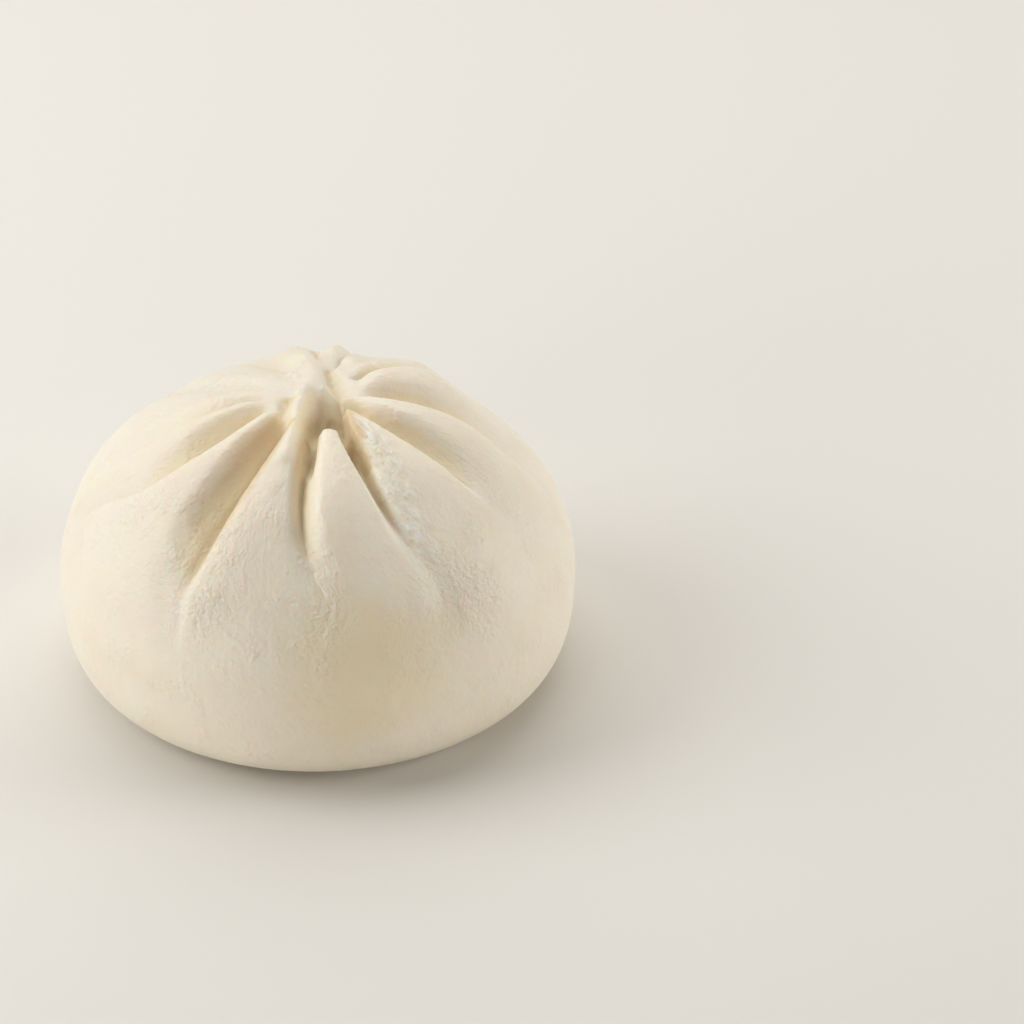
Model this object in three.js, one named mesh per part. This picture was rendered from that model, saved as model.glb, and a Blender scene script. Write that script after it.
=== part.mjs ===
// A steamed bun: one solid piece of risen dough, gathered into twelve pleats that meet in a knot.
// Millimetres, +Z up. The flat base lies on z = 0, and the front of the bun faces -Y.
import * as THREE from 'three';

// Driving dimensions
const girthRadius = 52.5;        // half of the widest girth
const girthHeight = 22;          // the widest girth above the flat base
const crownRise = 39.8;          // the smooth crown above the widest girth
const crownSquareness = 1.8;     // 2 is an ellipse, less gives leaner shoulders
const baseRadius = 34.7;         // the flat base
const baseX = 1.3;               // the flat base lies this far to the right of the girth
const bellySquareness = 3.05;    // fullness of the lower half
const hollowDepth = 1;           // shallow hollow that the knot sits in
const hollowRadius = 10.5;
const knotX = 2.1;               // the knot's middle, to the right of and behind the bun's middle
const knotY = 1;

// The creases between the pleats, going round from the front to the right. start and end are
// azimuths in degrees, beside the knot and low on the shoulder, and bow is the sideways swing
// between them. depth is in millimetres. A crease begins this many millimetres from the knot's
// middle, and has died out at the share of the radius called reach. left and right are the widths
// of its two walls in millimetres; a steepness of 1 gives a flat floor and an upright wall.
const creases = [
  { start: -5.6, end: 6.4, bow: -5.4, depth: 4.1, begins: 10, reach: 0.94,
    left: 2.6, right: 4, leftSteepness: 0.1, rightSteepness: 0.3 },
  { start: 23.6, end: 35, bow: -4.2, depth: 3.3, begins: 9, reach: 0.91,
    left: 2, right: 1.5, leftSteepness: 0.5, rightSteepness: 0.4 },
  { start: 47.8, end: 64.6, bow: 2.8, depth: 4, begins: 3, reach: 0.84,
    left: 1.8, right: 8, leftSteepness: 0.7, rightSteepness: 0.4 },
  { start: 86.6, end: 86.9, bow: 5, depth: 3.6, begins: 6, reach: 0.88,
    left: 1.8, right: 8, leftSteepness: 0.7, rightSteepness: 0.4 },
  { start: 134, end: 137, bow: -1, depth: 2.4, begins: 7, reach: 0.76,
    left: 2.2, right: 4.4, leftSteepness: 0.4, rightSteepness: 0.2 },
  { start: 169, end: 160, bow: -1, depth: 0.9, begins: 9, reach: 0.5,
    left: 2.2, right: 4, leftSteepness: 0.1, rightSteepness: 0 },
  { start: 184, end: 182, bow: 0, depth: 0.3, begins: 12, reach: 0.7,
    left: 2.4, right: 2.4, leftSteepness: 0, rightSteepness: 0 },
  { start: 221, end: 204, bow: 2, depth: 0.8, begins: 10, reach: 0.8,
    left: 5, right: 2.4, leftSteepness: 0, rightSteepness: 0 },
  { start: 258, end: 230, bow: 0, depth: 1.1, begins: 9, reach: 0.8,
    left: 6, right: 2.2, leftSteepness: 0.2, rightSteepness: 0.3 },
  { start: 278, end: 272, bow: 0, depth: 1.9, begins: 10, reach: 0.82,
    left: 6, right: 1.8, leftSteepness: 0.3, rightSteepness: 0.5 },
  { start: 301, end: 281, bow: 11, depth: 3.8, begins: 10, reach: 0.88,
    left: 8.5, right: 1.6, leftSteepness: 0.5, rightSteepness: 0.7 },
  { start: 330, end: 327.3, bow: 2.4, depth: 5, begins: 9.8, reach: 1.04,
    left: 8.7, right: 1.6, leftSteepness: 0.5, rightSteepness: 0.7 },
];
const creaseStart = 0.2;         // share of the radius where a crease has its start azimuth
const creaseEnd = 0.9;           // and its end azimuth
const creaseOnset = 6;           // a crease reaches its full depth over this distance
const fadeShare = 0.42;          // share of its reach at which it begins to fade
const wallFlare = 4.5;           // low on the shoulder its gentlest walls are wider by this much
const narrowShare = 0.15;        // inside this share of the radius its walls are narrower
const wideShare = 0.45;          // and from this share out they have their full width
const narrowing = 0.55;          // the narrow walls, as a share of the full width
const softStart = 0.56;          // the walls grow softer between these shares of the radius
const softEnd = 0.92;
const floorPower = 2.2;          // how much flatter the floor beside a steep wall is
const softFloor = 0.8;           // and how much flatter the floor of its soft foot is
const shoulderPower = 1.9;       // how roundly a wall meets the pleat's back
const steepShoulder = 0.3;
const softShoulder = 0.4;
const crowdingPower = 4;         // how suddenly walls grow narrower where a pleat has no room

// The pleats, each after the crease of the same number: extra height of its back in millimetres,
// and where its crest lies between its two creases
const pleats = [
  { rise: 0.9, crest: 0.42 },
  { rise: 0.2, crest: 0.45 },
  { rise: -0.1, crest: 0.68 },
  { rise: 1.1, crest: 0.72 },
  { rise: 1.2, crest: 0.35 },
  { rise: 1, crest: 0.45 },
  { rise: 1, crest: 0.35 },
  { rise: 0.2, crest: 0.5 },
  { rise: 0.2, crest: 0.35 },
  { rise: 0.7, crest: 0.3 },
  { rise: 0.7, crest: 0.28 },
  { rise: 0.2, crest: 0.32 },
];
const pleatSwell = 0.09;         // rise of a pleat's back, as a share of its width
const swellDepth = 3;            // a pleat has its full swell beside creases of this depth
const footSwell = 0.3;           // share of the swell that goes on below the creases
const footWidth = 22;            // and the width of pleat up to which it grows
const footEnd = 0.98;            // share of the radius where it ends

// The hollow in front of the knot, in millimetres to the right of and in front of the knot's
// middle. Its face falls between faceTop and faceFoot, and its floor rises again between fadeStart
// and fadeEnd. At the distance slantFrom its sides rise from leftFloor to left and from rightFloor
// to right. They spread by the slants out to leftSlantTo and rightSlantTo, and draw together
// towards the knot, the right one by rightSlantNear.
const hollow = {
  left: -4.4, leftFloor: -2, rightFloor: 5.4, right: 6.1,
  faceTop: 0.2, faceFoot: 8, depth: 5.9, fadeStart: 18, fadeEnd: 31,
  slantFrom: 12, leftSlantTo: 12, rightSlantTo: 26, leftSlant: 0.14,
  rightSlant: 0.36, rightSlantNear: 0.21,
};

// The front pleat ends in a blunt tongue that lies in the hollow. It widens away from its tip by
// the flares, its corners are rounded by tipRound, its sides fall over twice the width called
// edge, and its back sinks a little towards the tip.
const tongue = {
  azimuth: 7, start: 11.4, full: 13.2, halfWidth: 2.2, edge: 0.45, tipRound: 1.4,
  leftFlare: 0.028, rightFlare: 0.074, flarePower: 1.6, dip: 1, dipLength: 6,
};

// Uneven places of the shoulder: azimuth and its spread in degrees, share of the radius and its
// spread, and height in millimetres
const swells = [
  { azimuth: 125, spread: 42, share: 0.72, shareSpread: 0.24, height: -1.2 },
  { azimuth: 262, spread: 40, share: 0.88, shareSpread: 0.16, height: 0.7 },
  { azimuth: 36, spread: 4.5, share: 0.9, shareSpread: 0.08, height: -0.4 },
  { azimuth: 28, spread: 4, share: 0.88, shareSpread: 0.1, height: 0.5 },
  { azimuth: 8, spread: 12, share: 0.93, shareSpread: 0.06, height: -0.3 },
  { azimuth: 140, spread: 12, share: 0.61, shareSpread: 0.1, height: 1.6 },
  { azimuth: 162, spread: 5, share: 0.54, shareSpread: 0.09, height: -0.8 },
  { azimuth: 207, spread: 3.5, share: 0.63, shareSpread: 0.07, height: -0.7 },
  { azimuth: 228, spread: 4, share: 0.75, shareSpread: 0.07, height: -1.2 },
  { azimuth: 150, spread: 8, share: 0.32, shareSpread: 0.06, height: -0.6 },
];

// Small ridges and seams that cross the knot: height, width, and points from the knot's middle
const knotLines = [
  { height: 1.2, width: 2.8, line: [[-4, -1], [-3.4, 1], [-2.8, 6], [-4, 11]] },
  { height: 0.9, width: 1.3, line: [[-6, -20], [-5.4, -13], [-5, -6], [-4.4, -2]] },
  { height: 0.8, width: 1.2, line: [[-5, -10], [-4.9, -5]] },
  { height: -1.3, width: 1.5, line: [[-6.8, -3], [-7.5, -6], [-8, -9.5]] },
  { height: 1.7, width: 3.2, line: [[-4.6, 14], [-6, 21]] },
  { height: 2, width: 2.6, line: [[1.4, 17], [2.2, 21]] },
  { height: 0.6, width: 2.2, line: [[5, 15], [6.4, 19]] },
  { height: 0.5, width: 1.2, line: [[-3.6, -0.8], [-3.4, 0.2]] },
  { height: 0.4, width: 1.3, line: [[0.6, 1.5], [2.2, -3]] },
  { height: 0.4, width: 1.8, line: [[9, 1], [5.5, 3.5], [3, 8]] },
  { height: -0.8, width: 1.2, line: [[0.6, 9], [1.1, 6.5], [1.9, 2.4], [3, -1.8], [4.6, -4.8]] },
  { height: -0.5, width: 2.2, line: [[1.6, 6.5], [2.8, 2], [4.8, -1.6], [6.8, -4.4]] },
  { height: -0.6, width: 0.8, line: [[-1.6, 14], [-1.8, 19]] },
  { height: -0.5, width: 0.9, line: [[-5.4, 3.4], [-4.8, 2.8]] },
];

// Mesh fineness
const columnsPerPleat = 8;
const crownRings = 41;
const bellyRings = 9;
const creaseCrowding = 0.05;     // draws the columns of points towards the creases
const crownCrowding = 1.15;      // draws the rings of points towards the knot
const settleShare = 0.85;        // from this share of the radius out the columns even out

const columnCount = creases.length * columnsPerPleat;
const fullTurn = 360;
const radian = Math.PI / 180;

function smoothStep(low, high, value) {
  const t = Math.min(Math.max((value - low) / (high - low), 0), 1);
  return t * t * (3 - 2 * t);
}

function lerp(a, b, t) {
  return a + (b - a) * t;
}

// Difference of two azimuths, between half a turn back and half a turn on
function turnBetween(azimuth, other) {
  const turned = (azimuth - other + 1.5 * fullTurn) % fullTurn;
  return turned - fullTurn / 2;
}

// Azimuth of a crease, in degrees, at a share of the radius. Crease numbers run on past one turn.
function creaseAzimuth(number, share) {
  const count = creases.length;
  const crease = creases[number % count];
  const t = Math.min(Math.max((share - creaseStart) / (creaseEnd - creaseStart), 0), 1);
  const swing = crease.bow * 4 * t * (1 - t);
  return lerp(crease.start, crease.end, t) + swing + fullTurn * Math.floor(number / count);
}

// Depth of a crease in millimetres at a share of the radius
function creaseDepth(crease, share) {
  const onset = smoothStep(crease.begins, crease.begins + creaseOnset, share * girthRadius);
  const fade = 1 - smoothStep(fadeShare * crease.reach, crease.reach, share);
  return crease.depth * onset * fade;
}

// The wall of a crease: 1 in its bottom, 0 where it has risen to the pleat's back
function wall(distance, width, steepness, share) {
  const soft = smoothStep(softStart, softEnd, share);
  const upright = steepness * (1 - soft);
  const floor = 1 + floorPower * upright + softFloor * soft;
  const shoulder = shoulderPower - steepShoulder * upright + softShoulder * soft;
  return (1 - Math.min(distance / width, 1) ** floor) ** shoulder;
}

// The share of its swell that a pleat keeps below the creases
function footShare(width, share) {
  const begun = smoothStep(softStart, softEnd, share);
  const ended = smoothStep(softEnd, footEnd, share);
  return footSwell * begun * (1 - ended) * Math.min(footWidth / width, 1) ** 2;
}

// How far a pleat's back stands over the smooth crown, and how deep its walls have cut into it
function pleatRelief(number, across, share) {
  const left = creases[number];
  const right = creases[(number + 1) % creases.length];
  const pleat = pleats[number];
  const span = creaseAzimuth(number + 1, share) - creaseAzimuth(number, share);
  const width = Math.max(span * radian * share * girthRadius, 0.1);
  const flare = wallFlare * smoothStep(softStart, softEnd, share);
  const narrow = lerp(narrowing, 1, smoothStep(narrowShare, wideShare, share));
  const leftWidth = left.right * narrow + flare * (1 - left.rightSteepness);
  const rightWidth = right.left * narrow + flare * (1 - right.leftSteepness);
  const crowding = (leftWidth + rightWidth) / width;
  const fit = 1 / (1 + crowding ** crowdingPower) ** (1 / crowdingPower);
  const leftDepth = creaseDepth(left, share);
  const rightDepth = creaseDepth(right, share);
  const fromLeft = across * width;
  const fromRight = (1 - across) * width;
  const leftWall = leftDepth * wall(fromLeft, leftWidth * fit, left.rightSteepness, share);
  const rightWall = rightDepth * wall(fromRight, rightWidth * fit, right.leftSteepness, share);
  const hump = Math.sin(Math.PI * across ** (Math.log(0.5) / Math.log(pleat.crest)));
  const meanDepth = lerp(leftDepth, rightDepth, across);
  const held = smoothStep(0, swellDepth, meanDepth);
  const foot = footShare(width, share);
  const back = (pleatSwell * width + pleat.rise) * hump * (held + foot * (1 - held));
  return { back, cut: Math.max(leftWall, rightWall) };
}

function hollowDepthAt(x, y) {
  const front = -y;
  const leftPast = Math.min(front, hollow.leftSlantTo) - hollow.slantFrom;
  const rightPast = Math.min(front, hollow.rightSlantTo) - hollow.slantFrom;
  const fromLeft = x + hollow.leftSlant * leftPast;
  const rightSlant = rightPast < 0 ? hollow.rightSlantNear : hollow.rightSlant;
  const fromRight = x - rightSlant * rightPast;
  const leftSide = smoothStep(hollow.left, hollow.leftFloor, fromLeft);
  const rightSide = 1 - smoothStep(hollow.rightFloor, hollow.right, fromRight);
  const face = smoothStep(hollow.faceTop, hollow.faceFoot, front);
  const fade = 1 - smoothStep(hollow.fadeStart, hollow.fadeEnd, front);
  return hollow.depth * leftSide * rightSide * face * fade;
}

// 1 on the tongue of the front pleat, 0 beside it and short of it
function tongueShare(x, y) {
  const direction = tongue.azimuth * radian;
  const along = x * Math.sin(direction) - y * Math.cos(direction);
  const offset = x * Math.cos(direction) + y * Math.sin(direction);
  const flare = offset < 0 ? tongue.leftFlare : tongue.rightFlare;
  const beyond = Math.max(along - tongue.full, 0) ** tongue.flarePower;
  const halfWidth = tongue.halfWidth + flare * beyond;
  const aside = Math.abs(offset);
  const across = 1 - smoothStep(halfWidth - tongue.edge, halfWidth + tongue.edge, aside);
  const rounded = along - tongue.tipRound * (aside / halfWidth) ** 3;
  return smoothStep(tongue.start, tongue.full, rounded) * across;
}

function shoulderRelief(azimuth, share) {
  let relief = 0;
  for (const swell of swells) {
    const aside = turnBetween(azimuth, swell.azimuth) / swell.spread;
    const along = (share - swell.share) / swell.shareSpread;
    relief += swell.height * Math.exp(-(aside ** 2) - along ** 2);
  }
  return relief * (1 - smoothStep(settleShare, 1, share));
}

// Distance from a point to a line through several points
function lineDistance(x, y, line) {
  let nearest = Infinity;
  for (let i = 0; i < line.length - 1; i++) {
    const [ax, ay] = line[i];
    const dx = line[i + 1][0] - ax;
    const dy = line[i + 1][1] - ay;
    const along = ((x - ax) * dx + (y - ay) * dy) / (dx * dx + dy * dy);
    const t = Math.min(Math.max(along, 0), 1);
    nearest = Math.min(nearest, Math.hypot(x - ax - t * dx, y - ay - t * dy));
  }
  return nearest;
}

function knotRelief(x, y) {
  let relief = 0;
  for (const { height, width, line } of knotLines) {
    relief += height * Math.exp(-((lineDistance(x, y, line) / width) ** 2));
  }
  return relief;
}

// Height of the smooth crown over the girth at a share of the radius
function crownHeight(share) {
  const dome = crownRise * Math.max(1 - share * share, 0) ** (1 / crownSquareness);
  return dome - hollowDepth * Math.exp(-((share * girthRadius / hollowRadius) ** 2));
}

// Unit normal of the smooth crown, as its level and upright parts
function crownNormal(share) {
  const step = 0.002;
  const low = Math.max(share - step, 0);
  const high = Math.min(share + step, 1);
  const slope = (crownHeight(high) - crownHeight(low)) / ((high - low) * girthRadius);
  const length = Math.hypot(slope, 1);
  return { level: -slope / length, upright: 1 / length };
}

// A point of the pleated crown, from its pleat, the place across it and the share of the radius
function crownPoint(pleat, across, share) {
  const azimuth = lerp(creaseAzimuth(pleat, share), creaseAzimuth(pleat + 1, share), across);
  const evenAzimuth = (pleat + across) / creases.length * fullTurn;
  const settled = lerp(azimuth, evenAzimuth, smoothStep(settleShare, 1, share));
  const outX = Math.sin(settled * radian);
  const outY = -Math.cos(settled * radian);
  const local = share * girthRadius;
  const x = outX * local;
  const y = outY * local;
  const { back, cut } = pleatRelief(pleat, across, share);
  const lifted = tongueShare(x, y);
  const past = Math.max(local - tongue.full, 0) / tongue.dipLength;
  const dip = tongue.dip * Math.exp(-(past ** 2)) * lifted;
  const relief = back - Math.max(cut, hollowDepthAt(x, y) * (1 - lifted)) - dip
    + knotRelief(x, y) + shoulderRelief(settled, share);
  const normal = crownNormal(share);
  const shift = (1 - share * share) ** 2;
  return new THREE.Vector3(
    knotX * shift + outX * (local + normal.level * relief),
    knotY * shift + outY * (local + normal.level * relief),
    girthHeight + crownHeight(share) + normal.upright * relief,
  );
}

// A point of the lower half, from the girth (down = 0) to the rim of the flat base (down = 1)
function bellyPoint(azimuth, down) {
  const power = 2 / bellySquareness;
  const inward = Math.max(Math.cos(down * Math.PI / 2), 0) ** power;
  const local = lerp(baseRadius, girthRadius, inward);
  return new THREE.Vector3(
    baseX * (1 - inward) + Math.sin(azimuth * radian) * local,
    -Math.cos(azimuth * radian) * local,
    girthHeight * (1 - Math.sin(down * Math.PI / 2) ** power),
  );
}

// All points of the bun: the middle of the knot, the rings down from it, and the base's middle
function bunPoints() {
  const points = [crownPoint(0, 0, 0)];
  for (let ring = 1; ring <= crownRings; ring++) {
    const share = Math.sin((ring / crownRings) ** crownCrowding * Math.PI / 2);
    for (let column = 0; column < columnCount; column++) {
      const pleat = Math.floor(column / columnsPerPleat);
      const even = column / columnsPerPleat - pleat;
      const across = even - creaseCrowding * Math.sin(2 * Math.PI * even);
      points.push(crownPoint(pleat, across, share));
    }
  }
  for (let ring = 1; ring <= bellyRings; ring++) {
    for (let column = 0; column < columnCount; column++) {
      points.push(bellyPoint(column / columnCount * fullTurn, ring / bellyRings));
    }
  }
  points.push(new THREE.Vector3(baseX, 0, 0));
  return points;
}

// Triangles between the rings, with a fan at the knot and one over the flat base
function bunTriangles(lastPoint) {
  const triangles = [];
  const ringCount = crownRings + bellyRings;
  const at = (ring, column) => 1 + ring * columnCount + column % columnCount;
  for (let column = 0; column < columnCount; column++) {
    triangles.push(0, at(0, column), at(0, column + 1));
    for (let ring = 0; ring < ringCount - 1; ring++) {
      triangles.push(at(ring, column), at(ring + 1, column), at(ring + 1, column + 1));
      triangles.push(at(ring, column), at(ring + 1, column + 1), at(ring, column + 1));
    }
    triangles.push(at(ringCount - 1, column), lastPoint, at(ringCount - 1, column + 1));
  }
  return triangles;
}

function bunGeometry() {
  const points = bunPoints();
  const geometry = new THREE.BufferGeometry().setFromPoints(points);
  geometry.setIndex(bunTriangles(points.length - 1));
  geometry.computeVertexNormals();
  geometry.computeBoundingBox();
  const middle = geometry.boundingBox.getCenter(new THREE.Vector3());
  geometry.translate(-middle.x, -middle.y, 0);
  return geometry;
}

const dough = new THREE.MeshStandardMaterial({ color: '#efe6d4', roughness: 0.48, metalness: 0 });
const bunDough = new THREE.Mesh(bunGeometry(), dough);
bunDough.name = 'bun_dough';

const bun = new THREE.Group();
bun.add(bunDough);

export default bun;
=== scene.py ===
import math

import bpy
import numpy as np
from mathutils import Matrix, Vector


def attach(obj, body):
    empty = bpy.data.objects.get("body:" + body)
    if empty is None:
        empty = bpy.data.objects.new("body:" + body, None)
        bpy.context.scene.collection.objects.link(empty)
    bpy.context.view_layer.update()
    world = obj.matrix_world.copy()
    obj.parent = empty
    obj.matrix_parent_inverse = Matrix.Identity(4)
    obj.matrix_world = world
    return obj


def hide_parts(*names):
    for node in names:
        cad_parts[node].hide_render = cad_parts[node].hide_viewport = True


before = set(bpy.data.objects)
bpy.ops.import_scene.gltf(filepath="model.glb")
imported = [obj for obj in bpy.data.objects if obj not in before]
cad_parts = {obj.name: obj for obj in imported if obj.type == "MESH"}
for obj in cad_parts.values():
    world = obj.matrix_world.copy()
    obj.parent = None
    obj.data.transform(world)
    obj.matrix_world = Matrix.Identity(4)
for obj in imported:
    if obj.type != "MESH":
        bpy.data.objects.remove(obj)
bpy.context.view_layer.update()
print("frame loaded:", sorted(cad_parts))

mm = 0.001
scene = bpy.context.scene


# a shader socket that can be used as a number
class Value:
    def __init__(self, tree, socket):
        self.tree = tree
        self.socket = socket

    def math(self, operation, other):
        return self.tree.node("ShaderNodeMath", {"operation": operation}, [self, other])

    def __add__(self, other):
        return self.math("ADD", other)

    def __radd__(self, other):
        return self.math("ADD", other)

    def __sub__(self, other):
        return self.math("SUBTRACT", other)

    def __rsub__(self, other):
        return self.tree.node("ShaderNodeMath", {"operation": "SUBTRACT"}, [other, self])

    def __mul__(self, other):
        return self.math("MULTIPLY", other)

    def __rmul__(self, other):
        return self.math("MULTIPLY", other)

    # 0 below low, 1 above high, and a smooth rise between them
    def step(self, low, high):
        sockets = {"Value": self, "From Min": low, "From Max": high}
        return self.tree.node("ShaderNodeMapRange", {"interpolation_type": "SMOOTHSTEP"}, sockets)


class Nodes:
    def __init__(self, material):
        material.use_nodes = True
        self.tree = material.node_tree
        self.tree.nodes.clear()

    # type, then settings, then socket values or links by name or place; gives back one output
    def node(self, kind, settings=None, sockets=(), output=0):
        made = self.tree.nodes.new(kind)
        for name, value in (settings or {}).items():
            setattr(made, name, value)
        pairs = sockets.items() if isinstance(sockets, dict) else enumerate(sockets)
        for place, value in pairs:
            if isinstance(value, Value):
                self.tree.links.new(value.socket, made.inputs[place])
            else:
                made.inputs[place].default_value = value
        return Value(self, made.outputs[output])

    def noise(self, place, scale, detail=2, roughness=0.5):
        sockets = {"Vector": place, "Scale": scale, "Detail": detail, "Roughness": roughness}
        return self.node("ShaderNodeTexNoise", {}, sockets)

    def mix(self, share, first, second):
        sockets = {"Factor": share, 6: first, 7: second}
        return self.node("ShaderNodeMix", {"data_type": "RGBA"}, sockets, output=2)

    def output(self, surface):
        out = self.tree.nodes.new("ShaderNodeOutputMaterial")
        self.tree.links.new(surface.socket, out.inputs["Surface"])


# the same rise as step, for numbers and arrays
def smoothStep(low, high, value):
    t = np.clip((value - low) / (high - low), 0, 1)
    return t * t * (3 - 2 * t)


def lerp(a, b, t):
    return a + (b - a) * t


# an angle in degrees brought between minus half a turn and half a turn
def withinHalfTurn(angle):
    return (angle + 540) % 360 - 180


# the bun, in millimetres and degrees: the same form as the solid
bun = {
    "girthRadius": 52.5,
    "girthHeight": 22,
    "crownRise": 39.8,
    "crownSquareness": 1.8,
    "baseRadius": 34.7,
    "baseX": 1.3,               # the flat base lies this far to the right of the girth
    "bellySquareness": 3.05,
    "hollowDepth": 1,
    "hollowRadius": 10.5,
    "knotX": 2.1,
    "knotY": 1,
    "creaseStart": 0.2,         # a crease has its start and end azimuths at these shares of the radius
    "creaseEnd": 0.9,
    "fadeShare": 0.42,          # share of its reach at which a crease begins to fade
    "softStart": 0.56,          # the walls grow softer between these shares of the radius
    "softEnd": 0.92,
    "floorPower": 2.2,          # how much flatter the floor beside a steep wall is
    "softFloor": 0.8,           # and the floor of its foot
    "shoulderPower": 1.9,       # how roundly a wall meets the pleat's back
    "steepShoulder": 0.3,
    "softShoulder": 0.4,
    "swellDepth": 3,            # a pleat has its full swell beside creases of this depth
    "footSwell": 0.3,           # share of the swell that goes on below the creases
    "footWidth": 22,            # and the width of pleat up to which it grows
    "footEnd": 0.98,
    "settleShare": 0.85,        # from here out the columns even out
    "creaseOnset": 6,           # a crease reaches its full depth over this distance
    "wallFlare": 4.5,           # its walls are wider by up to this much low on the shoulder
    "narrowing": 0.55,          # and narrower by this factor near the knot
    "narrowShare": 0.15,        # out to this share of the radius
    "wideShare": 0.45,          # they have their own width from here
    "crowdingPower": 4,         # how sharply walls that would overlap give way
    "pleatSwell": 0.09,         # height of a pleat's back, as a share of its width
    "leastWidth": 0.1,          # a pleat counts as this wide at the middle of the knot
    "columnsPerPleat": 43,
    "crownRings": 152,
    "bellyRings": 36,
    "creaseCrowding": 0.05,     # the columns draw together at the creases
    "crownCrowding": 1.15,      # and the rings towards the knot
}

# start, end and bow in degrees, depth, the radius at which it begins, reach, width of the left and
# right walls, and how steep each is
creases = np.array([
    (-5.6, 6.4, -5.4, 4.1, 10, 0.94, 2.6, 4, 0.1, 0.3),
    (23.6, 35, -4.2, 3.3, 9, 0.91, 2, 1.5, 0.5, 0.4),
    (47.8, 64.6, 2.8, 4, 3, 0.84, 1.8, 8, 0.7, 0.4),
    (86.6, 86.9, 5, 3.6, 6, 0.88, 1.8, 8, 0.7, 0.4),
    (134, 137, -1, 2.4, 7, 0.76, 2.2, 4.4, 0.4, 0.2),
    (169, 160, -1, 0.9, 9, 0.5, 2.2, 4, 0.1, 0),
    (184, 182, 0, 0.3, 12, 0.7, 2.4, 2.4, 0, 0),
    (221, 204, 2, 0.8, 10, 0.8, 5, 2.4, 0, 0),
    (258, 230, 0, 1.1, 9, 0.8, 6, 2.2, 0.2, 0.3),
    (278, 272, 0, 1.9, 10, 0.82, 6, 1.8, 0.3, 0.5),
    (301, 281, 11, 3.8, 10, 0.88, 8.5, 1.6, 0.5, 0.7),
    (330, 327.3, 2.4, 5, 9.8, 1.04, 8.7, 1.6, 0.5, 0.7),
])
creaseCount = len(creases)

# strength and half width of the painted shade line in the bottom of each crease
foldShades = [
    (0.65, 1.2), (0.45, 1), (0.9, 0.9), (0.6, 0.8), (0.3, 0.8), (0.1, 0.8),
    (0, 1), (0, 1), (0, 1), (0.1, 1), (0.1, 1), (1.3, 2.4),
]

# strength, half width and line of the painted shade in the darkest places of the hollow, beside the
# front pleat's end
hollowShadeLines = [
    (0.8, 1.1, [(1.2, -5.3), (2, -5.2), (4, -6)]),
    (1.2, 2.3, [(4.2, -6.4), (5.2, -10.4), (6.2, -13), (7, -14.5)]),
    (0.8, 1.1, [(7.5, -15.3), (9.1, -18.6), (10.3, -21.5)]),
    (0.8, 1.1, [(-2.4, -12.5), (-1.8, -15), (-1.9, -18)]),
]

# extra height of each pleat, and where its crest lies between its creases
pleats = [
    (0.9, 0.42), (0.2, 0.45), (-0.1, 0.68), (1.1, 0.72), (1.2, 0.35), (1, 0.45),
    (1, 0.35), (0.2, 0.5), (0.2, 0.35), (0.7, 0.3), (0.7, 0.28), (0.2, 0.32),
]

# the hollow in front of the knot, and the end of the front pleat that lies in it
cavity = {
    "left": -4.4,
    "leftFloor": -2,
    "rightFloor": 5.4,
    "right": 6.1,
    "top": 0.2,                 # its face falls between these distances in front of the knot's middle
    "bottom": 8,
    "depth": 5.9,
    "fadeStart": 18,
    "fadeEnd": 31,
    "slantFrom": 12,            # its sides are as given here, and closer together near the knot
    "leftSlantTo": 12,          # they slant no further beyond these distances
    "rightSlantTo": 26,
    "leftSlant": 0.14,
    "rightSlant": 0.36,
    "rightSlantNear": 0.21,     # the right side's slant nearer to the knot than slantFrom
}
tongue = {
    "azimuth": 7,
    "start": 11.4,
    "full": 13.2,
    "halfWidth": 2.2,
    "tipRound": 1.4,            # its tip curves back by this much at its corners
    "edge": 0.45,               # half the width over which its side falls
    "leftFlare": 0.028,         # how it widens away from the tip
    "rightFlare": 0.074,
    "flarePower": 1.6,
    "dip": 1.0,                 # its tip lies this much lower, and rises over this length
    "dipLength": 6,
}

# azimuth, spread, share of the radius, its spread, and height of the uneven places of the shoulder
swells = [
    (125, 42, 0.72, 0.24, -1.2),
    (262, 40, 0.88, 0.16, 0.7),
    (36, 4.5, 0.9, 0.08, -0.4),
    (28, 4, 0.88, 0.1, 0.5),
    (8, 12, 0.93, 0.06, -0.3),
    (140, 12, 0.61, 0.1, 1.6),
    (162, 5, 0.54, 0.09, -0.8),
    (207, 3.5, 0.63, 0.07, -0.7),
    (228, 4, 0.75, 0.07, -1.2),
    (150, 8, 0.32, 0.06, -0.6),
]

# rise or depth, width and line of the small ridges and seams that cross the knot
knotLines = [
    (1.2, 2.8, [(-4, -1), (-3.4, 1), (-2.8, 6), (-4, 11)]),
    (0.9, 1.3, [(-6, -20), (-5.4, -13), (-5, -6), (-4.4, -2)]),
    (0.8, 1.2, [(-5, -10), (-4.9, -5)]),
    (-1.3, 1.5, [(-6.8, -3), (-7.5, -6), (-8, -9.5)]),
    (1.7, 3.2, [(-4.6, 14), (-6, 21)]),
    (2, 2.6, [(1.4, 17), (2.2, 21)]),
    (0.6, 2.2, [(5, 15), (6.4, 19)]),
    (0.5, 1.2, [(-3.6, -0.8), (-3.4, 0.2)]),
    (0.4, 1.3, [(0.6, 1.5), (2.2, -3)]),
    (0.4, 1.8, [(9, 1), (5.5, 3.5), (3, 8)]),
    (-0.8, 1.2, [(0.6, 9), (1.1, 6.5), (1.9, 2.4), (3, -1.8), (4.6, -4.8)]),
    (-0.5, 2.2, [(1.6, 6.5), (2.8, 2), (4.8, -1.6), (6.8, -4.4)]),
    (-0.6, 0.8, [(-1.6, 14), (-1.8, 19)]),
    (-0.5, 0.9, [(-5.4, 3.4), (-4.8, 2.8)]),
]
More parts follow.
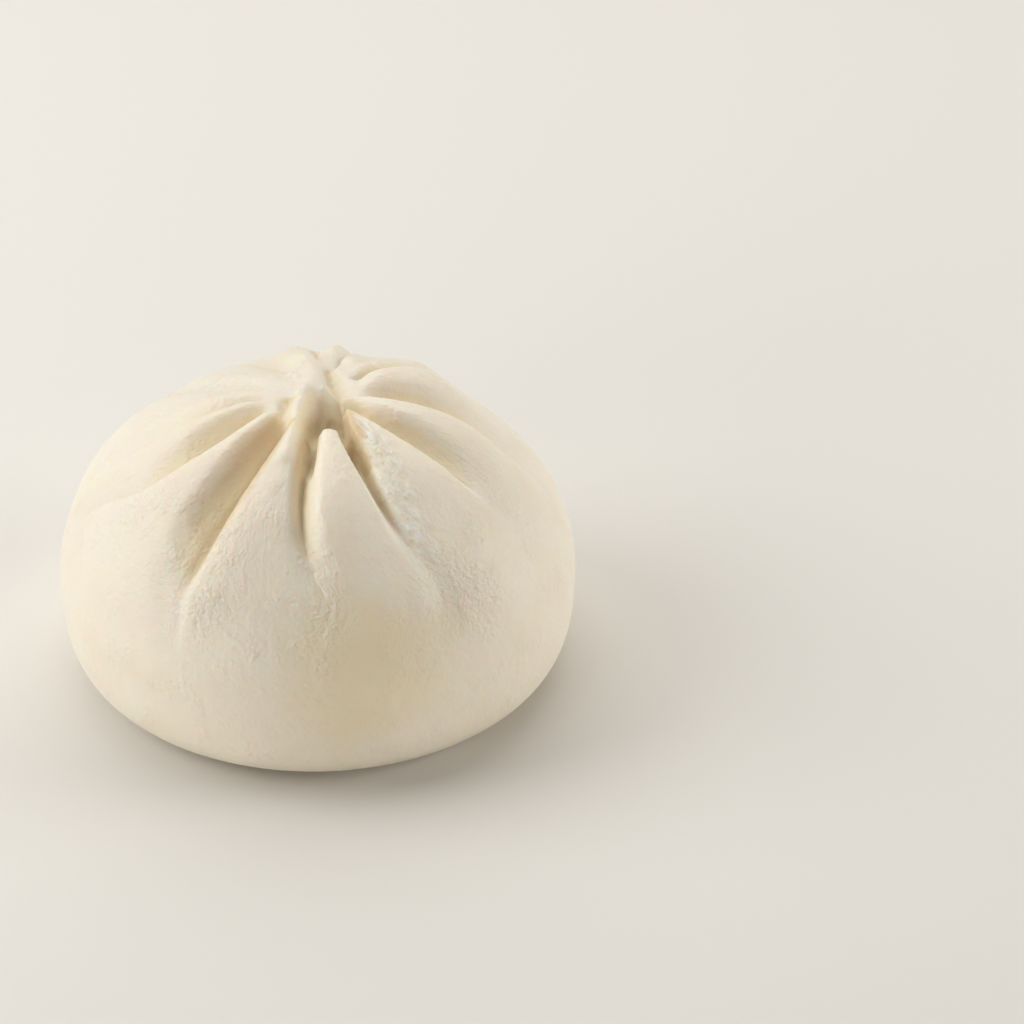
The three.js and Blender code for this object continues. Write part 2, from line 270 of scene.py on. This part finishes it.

# the skin's fine relief and the places of its colours and painted shade, in millimetres
skin = {
    "around": 22,               # radius of one turn, in units of the flow
    "strokeLength": 2.4,        # millimetres along the pleat in a unit of the flow
    "wrinkle": 0.06,            # height of the wrinkles, which run along the pleats
    "wrinkleScale": 1.6,
    "wrinkleFloor": 0.2,        # share of it that there is everywhere
    "coarseness": 0.25,         # of the shoulder outside the coarse places, between these shares
    "coarseFrom": 0.25,
    "coarseFull": 0.6,
    "coarseEnd": 0.93,
    "knotSmoothness": 0.18,     # and less by this on the knot, out to between these shares
    "smoothFull": 0.1,
    "smoothEnd": 0.3,
    "strongestTint": 1.9,       # places that overlap add up to no more than this
    "foldDepth": 2.4,           # a crease of this depth has its full painted shade line
    "hollowShadeLead": 1.6,            # the painted shade of the hollow begins this far before its face
    "hollowShadeMargin": 0.8,          # and this far beyond its sides
    "seamShade": 3,              # the seams of the knot get painted shade as creases this many times as deep
    "lumpSize": 1.4,            # pinched lumps beside the knot
    "lumpHeight": 0.9,
    "lumpWidth": 1.3,
    "lumpLine": [(-6.8, 7.5), (-5.3, 1.2), (-3.6, -1.6), (-3.1, -3)],
    "knotLump": 0.2,            # smaller lumps all over the knot, out to this radius
    "knotRadius": 9,
    "bellySpan": 0.5,           # length of the lower half, as a share of the girth's radius
    "blisterScale": 1.7,        # raised blisters on a strip of one pleat
    "blisterHeight": 0.3,
}


# a number past the last crease goes on round the bun
def creaseAzimuth(number, share):
    start, end, bow = creases[number % creaseCount, :3]
    t = np.clip((share - bun["creaseStart"]) / (bun["creaseEnd"] - bun["creaseStart"]), 0, 1)
    return lerp(start, end, t) + bow * 4 * t * (1 - t) + 360 * (number // creaseCount)


def creaseDepth(number, share):
    depth, start, reach = creases[number % creaseCount, 3:6]
    local = share * bun["girthRadius"]
    merge = smoothStep(start, start + bun["creaseOnset"], local)
    return depth * merge * (1 - smoothStep(bun["fadeShare"] * reach, reach, share))


# 1 in the bottom of a crease, falling to 0 at the top of its wall
def wall(distance, width, steepness, share):
    soft = smoothStep(bun["softStart"], bun["softEnd"], share)
    steepness = steepness * (1 - soft)
    floor = 1 + bun["floorPower"] * steepness + bun["softFloor"] * soft
    shoulder = bun["shoulderPower"] - bun["steepShoulder"] * steepness + bun["softShoulder"] * soft
    return (1 - np.minimum(distance / width, 1) ** floor) ** shoulder


# how far the back of a pleat stands over the smooth crown, how deep its walls have cut into it, and
# how dark the painted shade in its creases is
def pleatRelief(pleat, across, share):
    left = creases[pleat % creaseCount]
    right = creases[(pleat + 1) % creaseCount]
    span = creaseAzimuth(pleat + 1, share) - creaseAzimuth(pleat, share)
    width = np.maximum(np.radians(span) * share * bun["girthRadius"], bun["leastWidth"])
    flare = bun["wallFlare"] * smoothStep(bun["softStart"], bun["softEnd"], share)
    narrow = lerp(bun["narrowing"], 1, smoothStep(bun["narrowShare"], bun["wideShare"], share))
    leftWidth = left[7] * narrow + flare * (1 - left[9])
    rightWidth = right[6] * narrow + flare * (1 - right[8])
    crowding = (leftWidth + rightWidth) / width
    fit = (1 + crowding ** bun["crowdingPower"]) ** (-1 / bun["crowdingPower"])
    leftDepth = creaseDepth(pleat, share)
    rightDepth = creaseDepth(pleat + 1, share)
    leftWall = leftDepth * wall(across * width, leftWidth * fit, left[9], share)
    rightWall = rightDepth * wall((1 - across) * width, rightWidth * fit, right[8], share)
    rise, crest = pleats[pleat]
    hump = np.sin(np.pi * across ** (math.log(0.5) / math.log(crest)))
    meanDepth = lerp(leftDepth, rightDepth, across)
    foot = bun["footSwell"] * smoothStep(bun["softStart"], bun["softEnd"], share)
    foot = foot * (1 - smoothStep(bun["softEnd"], bun["footEnd"], share))
    foot = foot * np.minimum(bun["footWidth"] / width, 1) ** 2
    held = smoothStep(0, bun["swellDepth"], meanDepth)
    back = (bun["pleatSwell"] * width + rise) * hump * (held + foot * (1 - held))
    # painted shade: a dark line in the bottom of each crease
    leftStrength, leftHalf = foldShades[pleat]
    rightStrength, rightHalf = foldShades[(pleat + 1) % creaseCount]
    leftCut = smoothStep(0, skin["foldDepth"], leftDepth)
    rightCut = smoothStep(0, skin["foldDepth"], rightDepth)
    leftFoldShade = leftStrength * leftCut * np.exp(-(across * width / leftHalf / narrow) ** 2)
    rightFoldShade = rightStrength * rightCut * np.exp(-((1 - across) * width / rightHalf / narrow) ** 2)
    return back, np.maximum(leftWall, rightWall), np.maximum(leftFoldShade, rightFoldShade)


# depth of the hollow in front of the knot, with its sides moved out by the margin
def cavityDepth(x, y, margin=0):
    front = -y
    leftPast = np.minimum(front, cavity["leftSlantTo"]) - cavity["slantFrom"]
    rightPast = np.minimum(front, cavity["rightSlantTo"]) - cavity["slantFrom"]
    fromLeft = x + cavity["leftSlant"] * leftPast + margin
    rightSlant = np.where(rightPast < 0, cavity["rightSlantNear"], cavity["rightSlant"])
    fromRight = x - rightSlant * rightPast - margin
    leftSide = smoothStep(cavity["left"], cavity["leftFloor"], fromLeft)
    rightSide = 1 - smoothStep(cavity["rightFloor"], cavity["right"], fromRight)
    face = smoothStep(cavity["top"], cavity["bottom"], front)
    fade = 1 - smoothStep(cavity["fadeStart"], cavity["fadeEnd"], front)
    return cavity["depth"] * leftSide * rightSide * face * fade


# 1 on the end of the front pleat, 0 beside it and short of it
def tongueShare(x, y):
    direction = math.radians(tongue["azimuth"])
    along = x * math.sin(direction) - y * math.cos(direction)
    aside = x * math.cos(direction) + y * math.sin(direction)
    flare = np.where(aside < 0, tongue["leftFlare"], tongue["rightFlare"])
    beyond = np.maximum(along - tongue["full"], 0) ** tongue["flarePower"]
    halfWidth = tongue["halfWidth"] + flare * beyond
    edge = tongue["edge"]
    across = 1 - smoothStep(halfWidth - edge, halfWidth + edge, np.abs(aside))
    along = along - tongue["tipRound"] * np.abs(aside / halfWidth) ** 3
    return smoothStep(tongue["start"], tongue["full"], along) * across


# the swells and dips of the shoulder
def shoulderRelief(azimuth, share):
    relief = 0
    for middle, spread, middleShare, shareSpread, height in swells:
        aside = withinHalfTurn(azimuth - middle) / spread
        along = (share - middleShare) / shareSpread
        relief = relief + height * np.exp(-aside ** 2 - along ** 2)
    return relief * (1 - smoothStep(bun["settleShare"], 1, share))


# 1 on a line, falling to 0 over its width
def nearLine(x, y, width, line):
    distance = np.full_like(x, np.inf)
    for (ax, ay), (bx, by) in zip(line[:-1], line[1:]):
        dx, dy = bx - ax, by - ay
        t = np.clip(((x - ax) * dx + (y - ay) * dy) / (dx * dx + dy * dy), 0, 1)
        distance = np.minimum(distance, np.hypot(x - ax - t * dx, y - ay - t * dy))
    return np.exp(-(distance / width) ** 2)


# the rise of the knot, and the depth of its seams
def knotRelief(x, y):
    rise = np.zeros_like(x)
    seams = np.zeros_like(x)
    for height, width, line in knotLines:
        near = nearLine(x, y, width, line)
        rise = rise + height * near
        seams = seams + max(-height, 0) * near
    return rise, seams


# the smooth crown over the girth, a little hollow in its middle
def crownHeight(share):
    dome = bun["crownRise"] * np.maximum(1 - share ** 2, 0) ** (1 / bun["crownSquareness"])
    local = share * bun["girthRadius"]
    return dome - bun["hollowDepth"] * np.exp(-(local / bun["hollowRadius"]) ** 2)


slopeStep = 0.002               # share of the radius over which a slope is measured


# the parts of the crown's normal that point outwards and upwards
def crownNormal(share):
    low = np.maximum(share - slopeStep, 0)
    high = np.minimum(share + slopeStep, 1)
    slope = (crownHeight(high) - crownHeight(low)) / ((high - low) * bun["girthRadius"])
    length = np.hypot(slope, 1)
    return -slope / length, 1 / length


latticeSize = 64                # steps after which the random values repeat
seeds = {"wrinkles": 3, "lumps": 5, "blisters": 6}


# smooth random values between -1 and 1 over points that are counted in lattice steps
def lattice(points, seed):
    size = latticeSize
    table = np.random.default_rng(seed).random((size, size, size)) * 2 - 1
    whole = np.floor(points).astype(int)
    part = points - whole
    part = part * part * (3 - 2 * part)
    total = 0
    for corner in np.ndindex(2, 2, 2):
        weight = np.prod(np.where(corner, part, 1 - part), axis=-1)
        index = (whole + corner) % size
        total = total + weight * table[index[..., 0], index[..., 1], index[..., 2]]
    return total


# places on the skin: azimuth, its spread, share of the radius, its spread, strength
# where the dough is painted warmer in colour as shade, low on the front
frontShadePlaces = [(14, 24, 0.97, 0.13, 1.9)]
# where it is blistered, with a paler colour painted as highlight
blisterPlaces = [
    (38, 5, 0.28, 0.08, 0.8),
    (36, 5, 0.42, 0.12, 1),
    (34, 4.5, 0.6, 0.16, 0.8),
    (32, 4, 0.76, 0.08, 0.5),
]
# where it is strongly wrinkled
coarsePlaces = [
    (34, 5, 0.62, 0.2, 0.5),
    (32, 5, 0.42, 0.14, 0.5),
    (37, 8, 0.9, 0.08, 0.4),
    (5, 5, 0.84, 0.1, 0.8),
    (333, 9, 0.86, 0.1, 0.8),
    (322, 9, 0.88, 0.08, 0.6),
    (300, 10, 0.75, 0.2, 0.5),
]


# how strongly a point belongs to a list of places
def placed(azimuth, share, places):
    total = 0
    for middle, spread, middleShare, shareSpread, strength in places:
        aside = withinHalfTurn(azimuth - middle) / spread
        along = (share - middleShare) / shareSpread
        total = total + strength * np.exp(-aside ** 2 - along ** 2)
    return np.minimum(total, skin["strongestTint"])


# 0 on smooth skin, 1 where it is most wrinkled
def coarseness(azimuth, share):
    everywhere = skin["coarseness"] * smoothStep(skin["coarseFrom"], skin["coarseFull"], share)
    everywhere = everywhere * (1 - smoothStep(skin["coarseEnd"], 1, share))
    knot = 1 - smoothStep(skin["smoothFull"], skin["smoothEnd"], share)
    coarse = np.minimum(everywhere + placed(azimuth, share, coarsePlaces), 1)
    return coarse - skin["knotSmoothness"] * knot


# the lumps of the knot and the blisters, and where the blisters get their painted highlight
def lumps(x, y, azimuth, share, height, flow):
    points = np.stack([x, y, height + 0 * x], axis=-1)
    pinched = skin["lumpHeight"] * nearLine(x, y, skin["lumpWidth"], skin["lumpLine"])
    around = skin["knotLump"] * np.exp(-(x ** 2 + y ** 2) / skin["knotRadius"] ** 2)
    raised = skin["blisterHeight"] * placed(azimuth, share, blisterPlaces)
    blisters = lattice(flow * skin["blisterScale"], seeds["blisters"])
    uneven = lattice(points / skin["lumpSize"], seeds["lumps"])
    knotLumps = pinched * np.maximum(uneven, 0)
    knotLumps = knotLumps + around * uneven
    return knotLumps + raised * blisters, placed(azimuth, share, blisterPlaces)


# the place of a point in the grain of the dough: round the bun, and along the pleat
def flowAt(turn, length):
    radius = skin["around"]
    return [np.cos(turn) * radius, np.sin(turn) * radius, length / skin["strokeLength"]]


# rings of points from the middle of the knot out to the girth, pleat by pleat
def crownGrid():
    ring = np.arange(0, bun["crownRings"] + 1) / bun["crownRings"]
    share = np.sin(ring ** bun["crownCrowding"] * np.pi / 2)[:, None]
    even = np.arange(bun["columnsPerPleat"]) / bun["columnsPerPleat"]
    across = (even - bun["creaseCrowding"] * np.sin(2 * np.pi * even))[None, :]
    level, upright = crownNormal(share)
    shift = (1 - share ** 2) ** 2
    local = share * bun["girthRadius"]
    steps = np.hypot(np.diff(local[:, 0]), np.diff(crownHeight(share)[:, 0]))
    slant = np.concatenate([[0], np.cumsum(steps)])
    blocks = []
    for pleat in range(creaseCount):
        azimuth = lerp(creaseAzimuth(pleat, share), creaseAzimuth(pleat + 1, share), across)
        evenAzimuth = (pleat + across) / creaseCount * 360
        azimuth = lerp(azimuth, evenAzimuth, smoothStep(bun["settleShare"], 1, share))
        outX, outY = np.sin(np.radians(azimuth)), -np.cos(np.radians(azimuth))
        back, walls, foldShade = pleatRelief(pleat, across, share)
        hollow = cavityDepth(outX * local, outY * local)
        lifted = tongueShare(outX * local, outY * local)
        # painted shade of the hollow, a little ahead of its face and past its sides
        hollowShade = cavityDepth(outX * local, outY * local - skin["hollowShadeLead"], skin["hollowShadeMargin"])
        hollowShade = hollowShade * (1 - lifted)
        # painted shade in the darkest places of the hollow
        for strength, width, line in hollowShadeLines:
            near = strength * nearLine(outX * local, outY * local, width, line)
            foldShade = np.maximum(foldShade, near * (1 - lifted))
        beyond = np.maximum(local - tongue["full"], 0)
        dip = tongue["dip"] * np.exp(-(beyond / tongue["dipLength"]) ** 2)
        depth = np.maximum(walls, hollow * (1 - lifted))
        relief = back - depth - dip * lifted
        rise, seams = knotRelief(outX * local, outY * local)
        relief = relief + rise + shoulderRelief(azimuth, share)
        # the depth that sets the colour also takes the hollow's and the seams' painted shade
        depth = np.maximum(depth, hollowShade) + skin["seamShade"] * seams
        # painted shade low on the front, as a warmer colour
        depth = depth + placed(azimuth, share, frontShadePlaces)
        turn = (pleat + across) / creaseCount * 2 * np.pi + 0 * share
        length = np.broadcast_to(slant[:, None], turn.shape)
        flow = np.stack(flowAt(turn, length), axis=-1)
        lumped, blisterAndHighlightPlaces = lumps(outX * local, outY * local, azimuth, share, crownHeight(share), flow)
        relief = relief + lumped
        coarse = coarseness(azimuth, share)
        wrinkle = skin["wrinkle"] * (skin["wrinkleFloor"] + np.maximum(coarse, 0))
        relief = relief + wrinkle * lattice(flow * skin["wrinkleScale"], seeds["wrinkles"])
        out = local + level * relief
        height = bun["girthHeight"] + crownHeight(share) + upright * relief
        x, y = bun["knotX"] * shift + outX * out, bun["knotY"] * shift + outY * out
        blocks.append(np.concatenate([
            np.stack([x, y, height, depth, coarse, foldShade, blisterAndHighlightPlaces], axis=-1), flow,
        ], axis=-1))
    return np.concatenate(blocks, axis=1), slant[-1]


# rings from below the girth down to the rim of the flat base
def bellyGrid(columns, startLength):
    down = (np.arange(1, bun["bellyRings"] + 1) / bun["bellyRings"])[:, None]
    power = 2 / bun["bellySquareness"]
    inward = np.maximum(np.cos(down * np.pi / 2), 0) ** power
    local = bun["baseRadius"] + (bun["girthRadius"] - bun["baseRadius"]) * inward
    azimuth = np.radians(np.arange(columns) / columns * 360)[None, :]
    height = bun["girthHeight"] * (1 - np.sin(down * np.pi / 2) ** power)
    height = np.broadcast_to(height, (len(down), columns))
    x = np.sin(azimuth) * local + bun["baseX"] * (1 - inward)
    turn = azimuth + 0 * down
    inwards = np.diff(local[:, 0], prepend=bun["girthRadius"])
    downwards = np.diff(height[:, 0], prepend=bun["girthHeight"])
    length = startLength + np.cumsum(np.hypot(inwards, downwards))[:, None] + 0 * turn
    flow = flowAt(turn, length)
    # painted shade low on the front, as a warmer colour
    warm = placed(np.degrees(turn), 1 + skin["bellySpan"] * down, frontShadePlaces)
    none = np.zeros_like(turn)
    return np.stack([x, -np.cos(azimuth) * local, height, warm, none, none, none, *flow], axis=-1)


def makeBun():
    crown, crownLength = crownGrid()
    columns = crown.shape[1]
    grid = np.concatenate([crown[1:], bellyGrid(columns, crownLength)])
    rings, values = len(grid), grid.shape[2]
    points = np.concatenate([crown[:1, 0], grid.reshape(-1, values), grid[-1:, 0]])
    points[-1, :3] = bun["baseX"], 0, 0
    middle = (points.max(0) + points.min(0)) / 2
    points[:, :2] -= middle[:2]
    at = 1 + np.arange(rings * columns).reshape(rings, columns)
    nextColumn = np.roll(at, -1, axis=1)
    quads = np.stack([at[:-1], at[1:], nextColumn[1:], nextColumn[:-1]], axis=-1).reshape(-1, 4)
    last = len(points) - 1
    fans = [(0, int(a), int(b)) for a, b in zip(at[0], nextColumn[0])]
    fans += [(int(a), last, int(b)) for a, b in zip(at[-1], nextColumn[-1])]
    mesh = bpy.data.meshes.new("bunSkin")
    mesh.from_pydata((points[:, :3] * mm).tolist(), [], quads.tolist() + fans)
    # the attributes carry the creases' depth with their painted shade, the coarseness, the painted
    # shade lines, and the blisters' places with their painted highlight
    for place, name in enumerate(["depth", "coarse", "foldShade", "blisterAndHighlightPlaces"], start=3):
        made = mesh.attributes.new(name, "FLOAT", "POINT")
        made.data.foreach_set("value", points[:, place])
    made = mesh.attributes.new("flow", "FLOAT_VECTOR", "POINT")
    made.data.foreach_set("vector", points[:, 7:10].ravel())
    mesh.polygons.foreach_set("use_smooth", [True] * len(mesh.polygons))
    mesh.update()
    piece = bpy.data.objects.new("bunSkin", mesh)
    scene.collection.objects.link(piece)
    print("bun skin:", len(points), "points")
    return piece


dough = {
    "colour": (0.87, 0.8, 0.68, 1),
    # painted shade: darker, warmer colours for the creases and the hollow
    "creaseShadeColour": (0.86, 0.76, 0.56, 1),
    "deepShadeColour": (0.77, 0.65, 0.46, 1),
    "patchColour": (0.84, 0.765, 0.63, 1),
    # painted highlight: a paler colour on the blisters
    "blisterHighlightColour": (0.95, 0.92, 0.86, 1),
    "creaseFrom": 0.6,          # depth in millimetres where the painted shade of the creases, a warmer colour, begins
    "creaseTo": 2,
    "deepFrom": 4.6,
    "deepTo": 12,
    # painted shade along the bottoms of creases and of the hollow
    "foldFrom": 0.25,
    "foldTo": 0.85,
    "foldShadeColour": (0.68, 0.55, 0.36, 1),
    "roughness": 0.46,
    "roughnessSpread": 0.1,
    "subsurface": 0.6,
    "subsurfaceRadius": (1.0, 0.55, 0.3),
    "subsurfaceScale": 0.005,
    "patchScale": 70,           # features in a metre
    "strokeScale": 2.6,         # features in a unit of the flow
    "grainScale": 1500,
    "strokeHeight": 0.0006,     # metres
    "strokeShare": 0.85,        # share of the strokes that only coarse places have
    "spotScale": 0.37,          # broader strokes, against the fine ones
    "spotShare": 0.35,
    "grainHeight": 0.00006,
    "pebbleScale": 900,
    "pebbleHeight": 0.001,
    "pebbleShare": 0.4,         # of the pebbles everywhere, and what coarse places add
    "pebbleCoarse": 0.3,
    "pebblePatchScale": 110,    # the pebbles lie in patches
    "pebbleFrom": 0.42,
    "pebbleFull": 0.68,
    "blisterScale": 1.5,        # features in a unit of the flow
    "blisterStretch": (1, 1, 0.7),
    "blisterHeight": 0.0003,
    "blotchFrom": 0.4,          # noise values between which the blisters with their painted highlight, and the patches, come in
    "blotchFull": 0.75,
    "strokeEdge": 1.1,          # millimetres of depth by which the edge of the creases' painted shade wanders
    "patchEdge": 1.4,
    "foldEdge": 0.15,
    "creaseRoughness": 0.08,
}


def makeDough():
    material = bpy.data.materials.new("dough")
    n = Nodes(material)
    flow = n.node("ShaderNodeAttribute", {"attribute_name": "flow"}, output="Vector")
    depth = n.node("ShaderNodeAttribute", {"attribute_name": "depth"}, output="Fac")
    coarse = n.node("ShaderNodeAttribute", {"attribute_name": "coarse"}, output="Fac")
    foldShade = n.node("ShaderNodeAttribute", {"attribute_name": "foldShade"}, output="Fac")
    blisterAndHighlightPlaces = n.node("ShaderNodeAttribute", {"attribute_name": "blisterAndHighlightPlaces"}, output="Fac")
    place = n.node("ShaderNodeTexCoord", {}, output="Object")
    patches = n.noise(place, dough["patchScale"], detail=3)
    grain = n.noise(place, dough["grainScale"], detail=2)
    pebbles = n.noise(place, dough["pebbleScale"], detail=1)
    strokes = n.noise(flow, dough["strokeScale"], detail=3, roughness=0.6)
    spots = n.noise(flow, dough["strokeScale"] * dough["spotScale"], detail=2)
    stretch = [flow, dough["blisterStretch"]]
    longer = n.node("ShaderNodeVectorMath", {"operation": "MULTIPLY"}, stretch)
    blisters = n.noise(longer, dough["blisterScale"], detail=1)

    # painted shade: warm creases with an uneven edge, deeper in colour in the hollow, and darker lines
    # in their bottoms
    edge = (strokes - 0.5) * dough["strokeEdge"] + (patches - 0.5) * dough["patchEdge"]
    # painted shade of the creases, coming in with their depth
    warm = (depth + edge).step(dough["creaseFrom"], dough["creaseTo"])
    # painted shade, deeper in colour where the hollow is deepest
    deep = (depth + edge).step(dough["deepFrom"], dough["deepTo"])
    dark = (foldShade + edge * dough["foldEdge"]).step(dough["foldFrom"], dough["foldTo"])
    patchy = patches.step(dough["blotchFrom"], dough["blotchFull"])
    skinColour = n.mix(patchy, dough["colour"], dough["patchColour"])
    skinColour = n.mix(warm, skinColour, dough["creaseShadeColour"])
    skinColour = n.mix(deep, skinColour, dough["deepShadeColour"])
    skinColour = n.mix(dark, skinColour, dough["foldShadeColour"])
    # the blisters, raised by bump and painted paler as highlight
    blistersWithHighlight = blisters.step(dough["blotchFrom"], dough["blotchFull"]) * blisterAndHighlightPlaces
    skinColour = n.mix(blistersWithHighlight, skinColour, dough["blisterHighlightColour"])

    stroked = coarse * dough["strokeShare"] + (1 - dough["strokeShare"])
    relief = strokes * stroked * dough["strokeHeight"]
    relief = relief + spots * dough["strokeHeight"] * dough["spotShare"]
    relief = relief + grain * dough["grainHeight"]
    relief = relief + blistersWithHighlight * dough["blisterHeight"]
    rough = n.noise(place, dough["pebblePatchScale"], detail=2)
    rough = rough.step(dough["pebbleFrom"], dough["pebbleFull"])
    pebbled = coarse * dough["pebbleCoarse"] + dough["pebbleShare"]
    relief = relief + pebbles * rough * pebbled * dough["pebbleHeight"]
    bump = n.node("ShaderNodeBump", {}, {"Height": relief, "Distance": 1.0, "Strength": 1.0})
    roughness = dough["roughness"] + (patches - 0.5) * dough["roughnessSpread"]
    roughness = roughness + warm * dough["creaseRoughness"]
    surface = n.node("ShaderNodeBsdfPrincipled", {}, {
        "Base Color": skinColour,
        "Roughness": roughness,
        "Normal": bump,
        "Subsurface Weight": dough["subsurface"],
        "Subsurface Radius": dough["subsurfaceRadius"],
        "Subsurface Scale": dough["subsurfaceScale"],
    })
    n.output(surface)
    return material


bunSkin = makeBun()
bunSkin.data.materials.append(makeDough())
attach(bunSkin, "root")
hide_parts("bun_dough")


view = {
    "pitch": 32,                # looking down by this many degrees
    "lens": 140.6,
    "distance": 0.817,          # along the view, to the middle of the girth
    "right": -0.0396,           # where that middle lies beside and below the view's axis
    "up": -0.0098,
}


def makeCamera():
    pitch = math.radians(view["pitch"])
    forward = Vector((0, math.cos(pitch), -math.sin(pitch)))
    upward = Vector((0, math.sin(pitch), math.cos(pitch)))
    right = Vector((1, 0, 0))
    middle = Vector((0, 0, bun["girthHeight"] * mm))
    data = bpy.data.cameras.new("camera")
    data.lens = view["lens"]
    data.clip_start = 0.01
    camera = bpy.data.objects.new("camera", data)
    aside = right * view["right"] + upward * view["up"]
    camera.location = middle - aside - forward * view["distance"]
    camera.rotation_euler = (math.radians(90) - pitch, 0, 0)
    scene.collection.objects.link(camera)
    scene.camera = camera


floorPaint = {
    "half": 2.0,                # half the floor's side, in metres
    "colour": (0.8, 0.775, 0.73, 1),
    "roughness": 0.9,
}


def makeFloor():
    half = floorPaint["half"]
    corners = [(-half, -half, 0), (half, -half, 0), (half, half, 0), (-half, half, 0)]
    mesh = bpy.data.meshes.new("floor")
    mesh.from_pydata(corners, [], [(0, 1, 2, 3)])
    floor = bpy.data.objects.new("floor", mesh)
    scene.collection.objects.link(floor)
    material = bpy.data.materials.new("floorPaint")
    material.use_nodes = True
    shader = material.node_tree.nodes["Principled BSDF"]
    shader.inputs["Base Color"].default_value = floorPaint["colour"]
    shader.inputs["Roughness"].default_value = floorPaint["roughness"]
    mesh.materials.append(material)


# azimuth is counted from the front towards the right, elevation from the floor
white = (1.0, 1.0, 0.99)
cool = (1.0, 0.985, 0.95)
warm = (1.0, 0.82, 0.55)
lamps = {
    "left": {"azimuth": 270, "elevation": 35, "size": 0.8, "power": 5.6, "colour": white},
    "leftLow": {"azimuth": 320, "elevation": 7, "size": 0.6, "power": 3.2, "colour": white},
    "right": {"azimuth": 90, "elevation": 12, "size": 0.6, "power": 5.5, "colour": cool},
    "above": {"azimuth": 185, "elevation": 60, "size": 1.4, "power": 9.0, "colour": cool},
    "front": {"azimuth": 0, "elevation": 5, "size": 0.6, "power": 0.6, "colour": warm},
}
lampDistance = 1.0              # metres from a point in the middle of the bun
lampMiddle = Vector((0, 0, 0.03))
studio = {"colour": (1, 0.865, 0.65, 1), "strength": 0.02}


def makeLamps():
    for name, lamp in lamps.items():
        azimuth, elevation = math.radians(lamp["azimuth"]), math.radians(lamp["elevation"])
        towards = Vector((
            math.sin(azimuth) * math.cos(elevation),
            -math.cos(azimuth) * math.cos(elevation),
            math.sin(elevation),
        ))
        data = bpy.data.lights.new(name, "AREA")
        data.shape = "DISK"
        data.size = lamp["size"]
        data.energy = lamp["power"]
        data.color = lamp["colour"]
        light = bpy.data.objects.new(name, data)
        light.location = towards * lampDistance + lampMiddle
        light.rotation_mode = "QUATERNION"
        light.rotation_quaternion = towards.to_track_quat("Z", "Y")
        scene.collection.objects.link(light)


def makeWorld():
    world = bpy.data.worlds.new("studio")
    world.use_nodes = True
    background = world.node_tree.nodes["Background"]
    background.inputs["Color"].default_value = studio["colour"]
    background.inputs["Strength"].default_value = studio["strength"]
    scene.world = world
    scene.view_settings.view_transform = "Standard"


makeCamera()
makeFloor()
makeLamps()
makeWorld()
print("camera, floor and lamps made")
